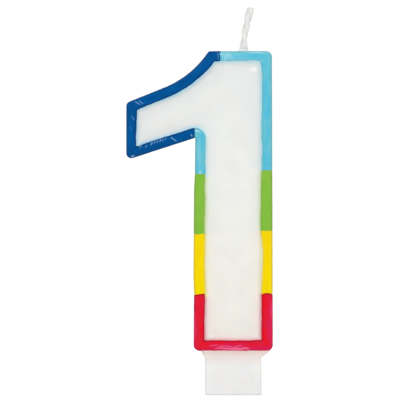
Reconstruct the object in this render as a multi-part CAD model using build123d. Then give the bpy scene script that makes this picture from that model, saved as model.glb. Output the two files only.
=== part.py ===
from build123d import *
import math
import os

# A cast wax birthday candle in the shape of the numeral 1, on a flat peg that is pushed into a cake.
# Lengths are in millimetres. The origin is the centre of the peg's foot. +Z is up, -Y is the painted
# front and +X is on the right of someone who faces it.

# Outline of the numeral, seen from the front.
OVERALL_HEIGHT = 82.5
NUMERAL_FOOT_Z = 9.4
NUMERAL_TOP_Z = 73.0
STEM_TOP_RIGHT_X = 8.2
STEM_FOOT_RIGHT_X = 8.4
STEM_FOOT_LEFT_X = -8.45
INNER_CORNER_X = -8.08
INNER_CORNER_Z = 54.6
FLAG_LEFT_X = -22.7
FLAG_FOOT_Z = 49.85
FLAG_TIP_Z = 62.05
CROWN_LEFT_X = -5.25
CROWN_BEND_X = -14.66
FLAG_RISE_DEG = 21.9
STEM_CORNER_R = 1.3
FLAG_CORNER_R = 1.1
CROWN_CORNER_R = 0.8
INNER_CORNER_R = 0.3

# Casting: flat back, raised rim round a recessed panel, rounded edges.
THICKNESS = 9.0
RIM_WIDTH = 2.3
PANEL_DEPTH = 0.8
RIM_SLOPE_WIDTH = 0.6
FRONT_EDGE_R = 0.6
BACK_EDGE_R = 0.5

# Peg and the sloped shoulder above it.
PEG_WIDTH = 12.1
PEG_THICKNESS = 7.8
PEG_TOP_Z = 7.9
PEG_EDGE_R = 0.6
PEG_FOOT_R = 0.4
SHOULDER_WIDTH = 15.0
SHOULDER_THICKNESS = 8.4
SHOULDER_SINK = 0.2

# Coloured wax over the rim.
COLOUR_FRONT = 0.3
COLOUR_SIDE = 0.2
COLOUR_WRAP = 1.2
CORE_EDGE_R = 0.35

# Where one colour of the rim meets the next.
CROWN_JOIN_X = -2.67
INNER_JOIN_X = -8.17
LEFT_JOINS_Z = (46.96, 34.23, 21.49)
RIGHT_JOINS_Z = (47.76, 34.91, 21.66)
BETWEEN_CROWN_AND_INNER_CORNER_Z = 60.0
REACH = 40.0
REACH_TOP_Z = 90.0

# Wick.
WICK_DIAMETER = 1.5
WICK_X = 2.15
WICK_FOOT_Z = 3.0
WICK_BEND_Z = 74.4
WICK_LEAN_POINT = (2.6, 78.0)
WICK_TIP_X = 3.55
ARC_SHARE_OF_RUN = 0.45

# Collar of wax round the wick's root.
SEAL_FOOT_R = 1.5
SEAL_TOP_R = 0.95
SEAL_HEIGHT = 0.6

BACK_Y = THICKNESS / 2
FRONT_Y = -THICKNESS / 2
STEM_MIDDLE_X = 0.0


def numeral_outline():
    """The numeral's outline as a face at y = 0, with its corners still sharp."""
    rise = math.radians(FLAG_RISE_DEG)
    bend_z = FLAG_TIP_Z + (CROWN_BEND_X - FLAG_LEFT_X) * math.tan(rise)
    flag_foot = (FLAG_LEFT_X, FLAG_FOOT_Z)
    flag_tip = (FLAG_LEFT_X, FLAG_TIP_Z)
    crown_bend = (CROWN_BEND_X, bend_z)
    crown_left = (CROWN_LEFT_X, NUMERAL_TOP_Z)
    top_right = (STEM_TOP_RIGHT_X, NUMERAL_TOP_Z)
    foot_right = (STEM_FOOT_RIGHT_X, NUMERAL_FOOT_Z)
    foot_left = (STEM_FOOT_LEFT_X, NUMERAL_FOOT_Z)
    inner_corner = (INNER_CORNER_X, INNER_CORNER_Z)
    with BuildSketch(Plane.XZ) as sketch:
        with BuildLine():
            Line(flag_foot, flag_tip)
            Line(flag_tip, crown_bend)
            TangentArc(crown_bend, crown_left, tangent=(math.cos(rise), math.sin(rise)))
            Polyline(crown_left, top_right, foot_right, foot_left, inner_corner, flag_foot)
        make_face()
    return sketch.sketch


def corners_near(sketch, x, z):
    """The outline's corner that lies nearest to this place."""
    return sketch.vertices().sort_by_distance((x, 0, z))[:1]


def rounded_outline():
    """The numeral's outline with each corner rounded as cast."""
    face = numeral_outline()
    corners = [
        (FLAG_LEFT_X, FLAG_FOOT_Z, FLAG_CORNER_R),
        (FLAG_LEFT_X, FLAG_TIP_Z, FLAG_CORNER_R),
        (CROWN_LEFT_X, NUMERAL_TOP_Z, CROWN_CORNER_R),
        (STEM_TOP_RIGHT_X, NUMERAL_TOP_Z, STEM_CORNER_R),
        (STEM_FOOT_RIGHT_X, NUMERAL_FOOT_Z, STEM_CORNER_R),
        (STEM_FOOT_LEFT_X, NUMERAL_FOOT_Z, STEM_CORNER_R),
        (INNER_CORNER_X, INNER_CORNER_Z, INNER_CORNER_R),
    ]
    for x, z, radius in corners:
        face = fillet(corners_near(face, x, z), radius)
    return face


def slab(face, front_y, back_y):
    """A face at y = 0 as a solid from front_y to back_y."""
    placed = Pos(0, back_y, 0) * face
    return extrude(placed, amount=back_y - front_y, dir=(0, -1, 0))


def rounded_slab(face, front_y, back_y, front_radius):
    """A slab with its front edges rounded."""
    solid = slab(face, front_y, back_y)
    front_edges = solid.faces().sort_by(Axis.Y)[0].edges()
    return fillet(front_edges, front_radius)


def numeral_blank():
    """The whole outer shape of the numeral, colour included, with no recess."""
    solid = rounded_slab(rounded_outline(), FRONT_Y, BACK_Y, FRONT_EDGE_R)
    back_edges = solid.faces().sort_by(Axis.Y)[-1].edges()
    return fillet(back_edges, BACK_EDGE_R)


def panel_recess():
    """The space in front of the panel, wider at the rim's edge than at the panel."""
    panel_y = FRONT_Y + PANEL_DEPTH
    rim_inside = offset(numeral_outline(), -RIM_WIDTH)
    panel_outline = offset(numeral_outline(), -(RIM_WIDTH + RIM_SLOPE_WIDTH))
    colour_y = FRONT_Y + COLOUR_FRONT
    mouth = slab(rim_inside, FRONT_Y - THICKNESS, colour_y)
    slope = loft([Pos(0, colour_y, 0) * rim_inside.face(), Pos(0, panel_y, 0) * panel_outline.face()])
    return mouth + slope


def colour_shell(blank, recess):
    """The layer of coloured wax over the rim, before it is parted into its colours."""
    core_outline = offset(rounded_outline(), -COLOUR_SIDE)
    core = rounded_slab(core_outline, FRONT_Y + COLOUR_FRONT, BACK_Y + THICKNESS, CORE_EDGE_R)
    wrap_end_y = FRONT_Y + COLOUR_WRAP
    front_part = blank & box_between((-REACH, FRONT_Y, 0), (REACH, wrap_end_y, REACH_TOP_Z))
    return front_part - core - recess


def box_between(low, high):
    """A box from its lowest to its highest corner."""
    size = [top - bottom for bottom, top in zip(low, high)]
    middle = [(top + bottom) / 2 for bottom, top in zip(low, high)]
    return Pos(*middle) * Box(*size)


def colour_zones():
    """For each coloured band, the boxes (low x, high x, low z, high z) that it fills on the rim."""
    left = (-REACH, STEM_MIDDLE_X)
    right = (STEM_MIDDLE_X, REACH)
    split_z = BETWEEN_CROWN_AND_INNER_CORNER_Z
    zones = {
        "dark_blue_band": [
            (-REACH, INNER_JOIN_X, LEFT_JOINS_Z[0], REACH_TOP_Z),
            (INNER_JOIN_X, CROWN_JOIN_X, split_z, REACH_TOP_Z),
        ],
        "light_blue_band_left": [(INNER_JOIN_X, CROWN_JOIN_X, LEFT_JOINS_Z[0], split_z)],
        "light_blue_band_right": [(CROWN_JOIN_X, REACH, RIGHT_JOINS_Z[0], REACH_TOP_Z)],
        "red_band": [(*left, 0.0, LEFT_JOINS_Z[2]), (*right, 0.0, RIGHT_JOINS_Z[2])],
    }
    for number, colour in enumerate(("green", "yellow")):
        zones[colour + "_band_left"] = [(*left, LEFT_JOINS_Z[number + 1], LEFT_JOINS_Z[number])]
        zones[colour + "_band_right"] = [(*right, RIGHT_JOINS_Z[number + 1], RIGHT_JOINS_Z[number])]
    return zones


def colour_band(shell, boxes):
    """The part of the colour layer that lies in these boxes, as one solid."""
    zone = None
    for low_x, high_x, low_z, high_z in boxes:
        block = box_between((low_x, -THICKNESS, low_z), (high_x, THICKNESS, high_z))
        zone = block if zone is None else zone + block
    return shell & zone


def peg():
    """The flat peg that goes into the cake, with rounded upright edges and foot."""
    solid = box_between(
        (-PEG_WIDTH / 2, -PEG_THICKNESS / 2, 0), (PEG_WIDTH / 2, PEG_THICKNESS / 2, PEG_TOP_Z)
    )
    solid = fillet(solid.edges().filter_by(Axis.Z), PEG_EDGE_R)
    return fillet(solid.faces().sort_by(Axis.Z)[0].edges(), PEG_FOOT_R)


def shoulder():
    """The slope from the peg out to the underside of the stem."""
    top_z = NUMERAL_FOOT_Z + SHOULDER_SINK
    low = Pos(0, 0, PEG_TOP_Z) * RectangleRounded(PEG_WIDTH, PEG_THICKNESS, PEG_EDGE_R)
    high = Pos(0, 0, top_z) * RectangleRounded(SHOULDER_WIDTH, SHOULDER_THICKNESS, PEG_EDGE_R)
    return loft([low.face(), high.face()])


def wick_route():
    """The middle line of the wick: straight in the wax, then leaning to the right."""
    lean_x, lean_z = WICK_LEAN_POINT
    lean = math.atan2(WICK_TIP_X - lean_x, OVERALL_HEIGHT - lean_z)
    tip_z = OVERALL_HEIGHT - WICK_DIAMETER / 2 * math.sin(lean)
    points = [
        Vector(WICK_X, 0, WICK_FOOT_Z),
        Vector(WICK_X, 0, WICK_BEND_Z),
        Vector(lean_x, 0, lean_z),
        Vector(WICK_TIP_X, 0, tip_z),
    ]
    radii = []
    for before, corner, after in zip(points, points[1:], points[2:]):
        run_in = corner - before
        run_out = after - corner
        half_turn = math.radians(run_in.get_angle(run_out)) / 2
        shorter = min(run_in.length, run_out.length)
        radii.append(ARC_SHARE_OF_RUN * shorter / math.tan(half_turn))
    print("wick arc radii, mm:", [round(radius, 1) for radius in radii])
    return FilletPolyline(*points, radius=radii)


def wick():
    """The wick as one plain round cord from inside the peg to its lit end."""
    route = wick_route()
    start = Plane(origin=route @ 0, z_dir=route % 0)
    solid = sweep(start * Circle(WICK_DIAMETER / 2), path=route)
    expected = math.pi * (WICK_DIAMETER / 2) ** 2 * route.length
    print("wick length, mm:", round(route.length, 2))
    print("wick volume, mm3:", round(solid.volume, 2), "from section and length:", round(expected, 2))
    return solid


def wick_seal(wick_solid):
    """The wax collar round the wick's root, on top of the numeral."""
    collar = Cone(SEAL_FOOT_R, SEAL_TOP_R, SEAL_HEIGHT, align=(Align.CENTER, Align.CENTER, Align.MIN))
    return Pos(WICK_X, 0, NUMERAL_TOP_Z) * collar - wick_solid


def write_node(name, solid):
    """One named piece of the candle as its own file."""
    solid.label = name
    export_step(solid, os.path.join("parts", name + ".step"))


def main():
    os.makedirs("parts", exist_ok=True)
    wick_solid = wick()
    blank = numeral_blank()
    recess = panel_recess()
    shell = colour_shell(blank, recess)
    nodes = {name: colour_band(shell, boxes) for name, boxes in colour_zones().items()}
    nodes["numeral_body"] = blank + shoulder() + peg() - recess - shell - wick_solid
    nodes["wick"] = wick_solid
    nodes["wick_seal"] = wick_seal(wick_solid)
    for name, solid in nodes.items():
        write_node(name, solid)


main()
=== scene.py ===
import math

import bmesh
import bpy
import numpy as np
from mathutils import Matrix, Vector, noise
from mathutils.geometry import delaunay_2d_cdt
from mathutils.kdtree import KDTree


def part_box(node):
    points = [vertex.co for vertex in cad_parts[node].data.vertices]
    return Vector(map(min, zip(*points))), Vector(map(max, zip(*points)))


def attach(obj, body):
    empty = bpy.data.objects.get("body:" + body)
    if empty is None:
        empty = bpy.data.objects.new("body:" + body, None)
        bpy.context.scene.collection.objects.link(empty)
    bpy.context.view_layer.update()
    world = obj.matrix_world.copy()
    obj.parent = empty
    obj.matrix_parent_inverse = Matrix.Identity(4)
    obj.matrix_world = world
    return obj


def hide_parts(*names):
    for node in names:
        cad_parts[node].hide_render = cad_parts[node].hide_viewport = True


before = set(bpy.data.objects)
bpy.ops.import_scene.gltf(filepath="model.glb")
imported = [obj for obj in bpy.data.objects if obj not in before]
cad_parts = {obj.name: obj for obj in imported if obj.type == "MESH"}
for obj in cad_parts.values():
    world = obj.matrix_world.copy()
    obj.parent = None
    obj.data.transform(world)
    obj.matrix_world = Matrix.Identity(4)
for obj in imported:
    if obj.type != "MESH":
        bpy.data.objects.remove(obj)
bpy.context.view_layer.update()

# A cast wax birthday candle in the shape of a 1: white casting, coloured wax on its rim, waxed wick.
# The code works in millimetres, and each mesh is written in metres. -Y is the painted front.
MM = 0.001
BODY = "root"


# ---- sizes from the frame

def node_box(node):
    """A CAD node's lowest and highest corner, in millimetres."""
    low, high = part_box(node)
    return low / MM, high / MM


red_low, red_high = node_box("red_band")
flag_low, flag_high = node_box("dark_blue_band")
yellow_low, _ = node_box("yellow_band_left")
crown_low, crown_high = node_box("light_blue_band_right")
wick_low, wick_high = node_box("wick")
FRONT_Y = crown_low.y
BACK_Y = node_box("numeral_body")[1].y
TOP_Z = crown_high.z
FOOT_Z = red_low.z

# Shape of the numeral, as in the CAD outline.
STEM_TOP_RIGHT_X = 8.2
INNER_CORNER = (-8.08, 54.6)
FLAG_FOOT_Z = 49.85
FLAG_TIP_Z = 62.05
CROWN_LEFT_X = -5.25
CROWN_BEND_X = -14.66
FLAG_RISE = math.radians(21.9)
STEM_CORNER_R = 1.3
FLAG_CORNER_R = 1.1
CROWN_CORNER_R = 0.8
INNER_CORNER_R = 0.12
TIGHTEST_CORNER_R = 0.28
CORNER_REACH = 5.0
# A hollow corner fans out inwards, so its run is measured this much farther in.
HOLLOW_RUN_INSET = 2.0

# The wax swells out on the left of the stem, beside the green and the yellow: how far, and between
# which heights it grows and fades.
SWELL = 0.15
SWELL_GROWS = (21.0, 25.5)
SWELL_FADES = (48.0, 43.0)


# ---- small helpers

def unit(vector):
    return vector / np.linalg.norm(vector)


def left_of(direction):
    """The direction turned a quarter turn anticlockwise: inwards, on an anticlockwise outline."""
    return np.array((-direction[1], direction[0]))


def angle_of(direction):
    return np.arctan2(direction[..., 1], direction[..., 0])


def direction_at(angle):
    return np.stack((np.cos(angle), np.sin(angle)), -1)


def smooth(share):
    share = np.clip(share, 0.0, 1.0)
    return share * share * (3.0 - 2.0 * share)


def ramp(value, start, end):
    """Smoothly from 0 at start to 1 at end, and level beyond them."""
    return smooth((value - start) / (end - start))


def bell(value, middle, reach):
    """1 at the middle, falling away on both sides of it."""
    return np.exp(-(((value - middle) / reach) ** 2))


def turned(first, second, angle):
    """The two parts of a direction after an anticlockwise turn."""
    cosine, sine = math.cos(angle), math.sin(angle)
    return cosine * first - sine * second, sine * first + cosine * second


def along_list(values, share):
    """A smooth run through evenly spaced values, for shares of its length from 0 to 1."""
    values = np.asarray(values, float)
    place = np.clip(share, 0.0, 1.0) * (len(values) - 1)
    first = np.minimum(place.astype(int), len(values) - 2)
    passed = smooth(place - first)
    return values[first] * (1.0 - passed) + values[first + 1] * passed


def noise_at(points, scale, seed, stretch=(1.0, 1.0, 1.0)):
    """Smooth noise from about -1 to 1 at each point, with features about scale millimetres wide."""
    spread = np.asarray(points, float) / (scale * np.asarray(stretch))
    flat = spread.reshape(-1, 3) + np.array((seed * 17.3, seed * 5.9, seed * 31.7))
    values = np.fromiter(map(noise.noise, flat.tolist()), float, len(flat))
    return values.reshape(spread.shape[:-1])


def rounded_path(points, radii, step):
    """Straight runs through the points, with each corner between them rounded by its radius."""
    points = np.array(points, float)
    path = [points[0]]
    for before, corner, after, radius in zip(points, points[1:], points[2:], radii):
        run_in, run_out = unit(corner - before), unit(after - corner)
        cross = run_in[0] * run_out[1] - run_in[1] * run_out[0]
        turn = math.atan2(cross, float(run_in @ run_out))
        if radius == 0.0 or abs(turn) < 1e-6:
            path.append(corner)
            continue
        side = math.copysign(1.0, turn)
        start = corner - run_in * radius * math.tan(abs(turn) / 2)
        centre = start + left_of(run_in) * side * radius
        arm = start - centre
        count = max(4, math.ceil(radius * abs(turn) / step))
        path += [centre + np.array(turned(*arm, turn * k / count)) for k in range(count + 1)]
    path.append(points[-1])
    return np.array(path)


def with_short_steps(path, step):
    """The same path with its long runs divided into steps."""
    result = [path[0]]
    for start, end in zip(path, path[1:]):
        count = max(1, math.ceil(np.linalg.norm(end - start) / step))
        result += [start + (end - start) * k / count for k in range(1, count + 1)]
    return np.array(result)


def path_lengths(path):
    steps = np.linalg.norm(np.diff(path, axis=0), axis=1)
    return np.concatenate(((0.0,), np.cumsum(steps)))


# ---- the numeral's outline

class Corner:
    """A rounded corner. It keeps its centre until the inset uses up its radius, then stays tight."""

    def __init__(self, normal_in, normal_out, centre_at, radius, convex):
        self.normal_in = normal_in
        self.normal_out = normal_out
        self.centre_at = centre_at
        self.radius = radius
        self.convex = convex

    def centre_inset(self, inset):
        if not self.convex:
            return np.full_like(inset, -self.radius)
        return np.maximum(self.radius, inset + TIGHTEST_CORNER_R)

    def centre(self, inset):
        return self.centre_at(self.centre_inset(inset))

    def place(self, share, inset):
        centre_inset = self.centre_inset(inset)
        centre = self.centre_at(centre_inset)
        start = angle_of(self.normal_in(centre))
        turn = (angle_of(self.normal_out(centre)) - start) % (2 * math.pi)
        if not self.convex:
            turn = turn - 2 * math.pi
        normal = direction_at(start + turn * share)
        return centre - (centre_inset - inset)[..., None] * normal, normal

    def run_length(self):
        least = TIGHTEST_CORNER_R if self.convex else self.radius + HOLLOW_RUN_INSET
        return self.turn_at_edge() * max(self.radius, least)

    def turn_at_edge(self):
        ends = [self.place(np.array((share,)), np.zeros(1))[1][0] for share in (0.0, 1.0)]
        return math.acos(np.clip(ends[0] @ ends[1], -1.0, 1.0))


class Straight:
    """A straight side. Away from its ends, a share of its length is at the same place at any inset."""

    def __init__(self, start, end, corner_before, corner_after):
        self.start = start
        self.direction = unit(end - start)
        self.normal = left_of(self.direction)
        self.length = float(np.linalg.norm(end - start))
        self.before = corner_before
        self.after = corner_after

    def ends(self, inset):
        low = np.zeros_like(inset)
        high = np.full_like(inset, self.length)
        if self.before:
            low = (self.before.centre(inset) - self.start) @ self.direction
        if self.after:
            high = (self.after.centre(inset) - self.start) @ self.direction
        return low, high

    def place(self, share, inset):
        low_edge, high_edge = self.ends(np.zeros_like(inset))
        low, high = self.ends(inset)
        reach = np.minimum(CORNER_REACH, (high_edge - low_edge) / 2)
        along = low_edge + share * (high_edge - low_edge)
        near_low = np.clip(1.0 - (along - low_edge) / reach, 0.0, 1.0)
        near_high = np.clip(1.0 - (high_edge - along) / reach, 0.0, 1.0)
        along = along + (low - low_edge) * near_low + (high - high_edge) * near_high
        point = self.start + along[..., None] * self.direction + inset[..., None] * self.normal
        return point, np.broadcast_to(self.normal, point.shape)

    def run_length(self):
        low, high = self.ends(np.zeros(1))
        return float(high[0] - low[0])


class CrownArc:
    """The hollow curve from the crown down to the flag's straight slope."""

    def __init__(self, centre, radius, end_angle, corner_before):
        self.centre = centre
        self.radius = radius
        self.end_angle = end_angle
        self.before = corner_before

    def place(self, share, inset):
        start = angle_of(self.before.centre(inset) - self.centre)
        normal = direction_at(start + share * (self.end_angle - start))
        return self.centre + (self.radius + inset)[..., None] * normal, normal

    def run_length(self):
        ends, _ = self.place(np.array((0.0, 1.0)), np.zeros(2))
        return float(np.linalg.norm(ends[1] - ends[0]))


def corner_between(vertex, direction_in, direction_out, radius, convex):
    """The rounded corner between two straight sides."""
    normal_in, normal_out = left_of(direction_in), left_of(direction_out)
    miter = (normal_in + normal_out) / (1.0 + normal_in @ normal_out)
    return Corner(
        lambda centre: np.broadcast_to(normal_in, centre.shape),
        lambda centre: np.broadcast_to(normal_out, centre.shape),
        lambda centre_inset: vertex + centre_inset[..., None] * miter,
        radius,
        convex,
    )


class Outline:
    """The numeral's outline, anticlockwise from the crown. place(run, inset) gives the point that lies
    a run in millimetres along the edge and an inset in from it, and the inward direction there."""

    def __init__(self):
        bend = (CROWN_BEND_X, FLAG_TIP_Z + (CROWN_BEND_X - flag_low.x) * math.tan(FLAG_RISE))
        crown = (CROWN_LEFT_X, TOP_Z)
        # Each straight side with its start, and the corner there with its radius.
        sides = [
            ("slope", bend, None, 0.0),
            ("flag_left", (flag_low.x, FLAG_TIP_Z), "tip_corner", FLAG_CORNER_R),
            ("underside", (flag_low.x, FLAG_FOOT_Z), "foot_corner", FLAG_CORNER_R),
            ("stem_left", INNER_CORNER, "inner_corner", INNER_CORNER_R),
            ("foot", (red_low.x, FOOT_Z), "stem_left_corner", STEM_CORNER_R),
            ("stem_right", (red_high.x, FOOT_Z), "stem_right_corner", STEM_CORNER_R),
            ("top", (STEM_TOP_RIGHT_X, TOP_Z), "top_right_corner", STEM_CORNER_R),
        ]
        ends = np.array([start for _, start, _, _ in sides] + [crown])
        directions = [unit(step) for step in np.diff(ends, axis=0)]
        outward = np.array((-math.sin(FLAG_RISE), math.cos(FLAG_RISE)))
        chord = ends[-1] - ends[0]
        arc_radius = float(chord @ chord / (2.0 * chord @ outward))
        arc_centre = ends[0] + arc_radius * outward

        def from_top(centre):
            return np.broadcast_to(left_of(directions[-1]), centre.shape)

        def from_arc(centre):
            arm = centre - arc_centre
            return arm / np.linalg.norm(arm, axis=-1, keepdims=True)

        def crown_centre(centre_inset):
            z = TOP_Z - centre_inset
            x = arc_centre[0] + np.sqrt((arc_radius + centre_inset) ** 2 - (z - arc_centre[1]) ** 2)
            return np.stack((x, z), -1)

        crown_corner = Corner(from_top, from_arc, crown_centre, CROWN_CORNER_R, True)
        corners = [None]
        for k, (name, _, _, radius) in enumerate(sides[1:], 1):
            hollow = name == "stem_left"
            corners.append(corner_between(ends[k], directions[k - 1], directions[k], radius, not hollow))
        corners.append(crown_corner)
        self.pieces = {
            "crown_corner": crown_corner,
            "crown_arc": CrownArc(arc_centre, arc_radius, angle_of(-outward), crown_corner),
        }
        for k, (name, _, corner_name, _) in enumerate(sides):
            if corner_name:
                self.pieces[corner_name] = corners[k]
            self.pieces[name] = Straight(ends[k], ends[k + 1], corners[k], corners[k + 1])
        self.starts = {}
        self.length = 0.0
        for name, piece in self.pieces.items():
            self.starts[name] = self.length
            self.length += piece.run_length()

    def place(self, run, inset):
        run, inset = np.broadcast_arrays(np.asarray(run, float) % self.length, np.asarray(inset, float))
        point = np.zeros(run.shape + (2,))
        normal = np.zeros(run.shape + (2,))
        for name, piece in self.pieces.items():
            start, length = self.starts[name], piece.run_length()
            here = (run >= start) & (run <= start + length)
            if here.any():
                point[here], normal[here] = piece.place((run[here] - start) / length, inset[here])
                if name == "stem_left":
                    z = point[here, 1]
                    point[here, 0] -= SWELL * ramp(z, *SWELL_GROWS) * ramp(z, *SWELL_FADES)
        return point, normal

    def run_on(self, name, axis, value):
        """How far along the outline a straight side passes this x (axis 0) or z (axis 1)."""
        piece = self.pieces[name]
        low, _ = piece.ends(np.zeros(1))
        along = (value - piece.start[axis]) / piece.direction[axis]
        return self.starts[name] + along - float(low[0])

    def samples(self, step, fewest):
        """Places along the whole outline, about a step apart and denser on the corners."""
        runs = []
        for name, piece in self.pieces.items():
            length = piece.run_length()
            count = max(fewest, math.ceil(length / step))
            runs += [self.starts[name] + length * k / count for k in range(count)]
        return np.array(runs)


outline = Outline()


# ---- mesh writing

def new_mesh(name, vertices, faces):
    """A mesh object from vertices in millimetres."""
    mesh = bpy.data.meshes.new(name)
    mesh.from_pydata((np.asarray(vertices) * MM).tolist(), [], [list(map(int, face)) for face in faces])
    mesh.validate()
    obj = bpy.data.objects.new(name, mesh)
    bpy.context.scene.collection.objects.link(obj)
    return obj


def closed_mesh(name, vertices, faces):
    """The same for a closed skin, with its faces turned outwards."""
    obj = new_mesh(name, vertices, faces)
    work = bmesh.new()
    work.from_mesh(obj.data)
    bmesh.ops.recalc_face_normals(work, faces=work.faces)
    work.to_mesh(obj.data)
    work.free()
    return obj


def grid_faces(rows, columns, first=0, closed=False, flip=False):
    """Quads over a grid of vertices. A closed grid joins its last column to its first."""
    faces = []
    for row in range(rows - 1):
        for column in range(columns if closed else columns - 1):
            here = first + row * columns + column
            beside = first + row * columns + (column + 1) % columns
            quad = (here, beside, beside + columns, here + columns)
            faces.append(quad[::-1] if flip else quad)
    return faces


def capped_rings(name, rings):
    """A closed skin through rings of vertices, with a flat cap on the first and on the last."""
    rows, columns = len(rings), len(rings[0])
    caps = [tuple(range(columns))[::-1], tuple(range((rows - 1) * columns, rows * columns))]
    return closed_mesh(name, np.concatenate(rings), grid_faces(rows, columns, closed=True) + caps)


def set_layer(obj, name, kind, values):
    """What the material reads at each vertex: a FLOAT, FLOAT_VECTOR or FLOAT_COLOR."""
    field = {"FLOAT": "value", "FLOAT_VECTOR": "vector", "FLOAT_COLOR": "color"}[kind]
    layer = obj.data.attributes.new(name, kind, "POINT")
    layer.data.foreach_set(field, np.asarray(values, np.float32).ravel())


def set_tint(obj, colours):
    """A colour for each vertex, or one for all of them."""
    tint = np.ones((len(obj.data.vertices), 4))
    tint[:, :3] = colours
    set_layer(obj, "tint", "FLOAT_COLOR", tint)


def read_vertices(obj, field):
    values = np.zeros(len(obj.data.vertices) * 3)
    obj.data.vertices.foreach_get(field, values)
    return values.reshape(-1, 3)


def apply_boolean(obj, other, operation):
    """Joins or cuts obj by other, keeps the result in obj and removes other."""
    modifier = obj.modifiers.new("join", "BOOLEAN")
    modifier.operation = operation
    modifier.solver = "EXACT"
    modifier.object = other
    bpy.context.view_layer.update()
    result = bpy.data.meshes.new_from_object(obj.evaluated_get(bpy.context.evaluated_depsgraph_get()))
    obj.modifiers.clear()
    obj.data = result
    bpy.data.objects.remove(other)


# ---- colours

def srgb(red, green, blue):
    """A display colour from 0 to 255 as the linear values that shaders take."""
    def linear(value):
        value /= 255.0
        return value / 12.92 if value <= 0.04045 else ((value + 0.055) / 1.055) ** 2.4
    return np.array((linear(red), linear(green), linear(blue)))


WHITE_WAX = srgb(245, 246, 242)
COOL_WAX = srgb(239, 241, 239)
CREAM_WAX = srgb(252, 248, 240)
PEG_WAX = srgb(251, 251, 249)
SEAL_WAX = srgb(253, 251, 255)
# Painted highlight colour for the glints on the panel.
GLINT_HIGHLIGHT = srgb(255, 253, 251)
# Painted pink light from the red band, for under the stem.
PINK_BOUNCE_LIGHT = srgb(250, 214, 205)

# White wax beside each colour: close to it a stain that is partly painted light, brightened to lift the
# shaded inner wall, and a little farther off the painted bounce light and shade that the colour throws.
STAINS_AND_BOUNCE = {
    "dark_blue": (srgb(150, 226, 255), srgb(80, 90, 110)),
    "light_blue": (srgb(174, 240, 254), srgb(120, 184, 200)),
    "green": (srgb(202, 234, 138), srgb(178, 214, 130)),
    "yellow": (srgb(255, 243, 122), srgb(252, 224, 130)),
    "red": (srgb(255, 144, 162), srgb(255, 138, 152)),
}


def colour_of(node):
    """The colour word in a band's name."""
    return node.split("_band")[0]


def blend(under, over, share):
    """One colour laid over others, by a share for each of them."""
    share = share[:, None]
    return under * (1 - share) + over * share


# ---- the white casting

SIDE_INSET = 0.05
CORE_INSET = 0.14
WRAP_END_Y = FRONT_Y + 1.2
CORE_FRONT_Y = FRONT_Y + 0.14
PANEL_Y = FRONT_Y + 0.8
MOULD_LINE_Y = 0.3
MOULD_LINE_HALF = 0.06
MOULD_LINE_REACH = 0.2
BACK_EDGE_R = 0.5
BACK_FILL_INSET = 2.6
PANEL_FILL_INSET = 3.7

# How finely the casting is divided: its section, that section's curves, its outline and its flat fills.
SIDE_STEP = 0.35
RIM_STEP = 0.16
CURVE_STEP = 0.08
OUTLINE_STEP = 0.4
FEWEST_STEPS = 8
BACK_SPACING = 0.8
PANEL_SPACING = 0.5
CLEAR_OF_RING = 0.7

# The rim under its colour, as (inset, y) from the side wall over the rim to the panel.
RIM_POINTS = [
    (CORE_INSET, WRAP_END_Y + 0.25),
    (CORE_INSET, CORE_FRONT_Y + 0.10),
    (1.15, CORE_FRONT_Y),
    (2.10, CORE_FRONT_Y + 0.09),
    (2.45, CORE_FRONT_Y + 0.36),
    (3.15, PANEL_Y),
    (PANEL_FILL_INSET, PANEL_Y),
]
RIM_RADII = [0.62, 3.0, 0.38, 0.5, 0.4]


def rim_path(step):
    return with_short_steps(rounded_path(RIM_POINTS, RIM_RADII, step), step)


def body_profile():
    """The casting's section as (inset, y), from the flat back over the side and the rim to the panel."""
    back = [(BACK_FILL_INSET, BACK_Y), (SIDE_INSET, BACK_Y), (SIDE_INSET, MOULD_LINE_Y + MOULD_LINE_REACH)]
    back = rounded_path(back, [BACK_EDGE_R], CURVE_STEP)
    side = [
        (0.0, MOULD_LINE_Y + MOULD_LINE_HALF),
        (0.0, MOULD_LINE_Y - MOULD_LINE_HALF),
        (SIDE_INSET, MOULD_LINE_Y - MOULD_LINE_REACH),
        (SIDE_INSET, WRAP_END_Y + 0.45),
    ]
    return np.concatenate((with_short_steps(np.concatenate((back, side)), SIDE_STEP), rim_path(RIM_STEP)))


def inside(polygon, points):
    """Which points lie inside a closed polygon."""
    result = np.zeros(len(points), bool)
    for (x0, z0), (x1, z1) in zip(polygon, np.roll(polygon, -1, axis=0)):
        if z0 == z1:
            continue
        crosses = (points[:, 1] > min(z0, z1)) & (points[:, 1] <= max(z0, z1))
        result ^= crosses & (points[:, 0] < x0 + (points[:, 1] - z0) * (x1 - x0) / (z1 - z0))
    return result


def fill_ring(vertices, faces, ring_start, ring, y, spacing, flip):
    """Fills a closed ring at one depth with triangles over an even grid of new vertices."""
    low, high = ring.min(0), ring.max(0)
    xs = np.arange(low[0] + spacing / 2, high[0], spacing)
    zs = np.arange(low[1] + spacing / 2, high[1], spacing)
    grid = np.array([(x, z) for z in zs for x in xs])
    grid = grid[inside(ring, grid)]
    gap = np.sqrt(((grid[:, None, :] - ring[None, ::2, :]) ** 2).sum(-1)).min(1)
    grid = grid[gap > spacing * CLEAR_OF_RING]
    everything = [Vector(place) for place in np.concatenate((ring, grid)).tolist()]
    edges = [(k, (k + 1) % len(ring)) for k in range(len(ring))]
    _, _, triangles, origins, _, _ = delaunay_2d_cdt(everything, edges, [], 1, 1e-7)
    first_new = len(vertices)
    vertices += [(x, y, z) for x, z in grid.tolist()]

    def index(k):
        original = origins[k][0]
        return ring_start + original if original < len(ring) else first_new + original - len(ring)

    for triangle in triangles:
        triangle = [index(k) for k in triangle]
        faces.append(triangle[::-1] if flip else triangle)


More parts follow.
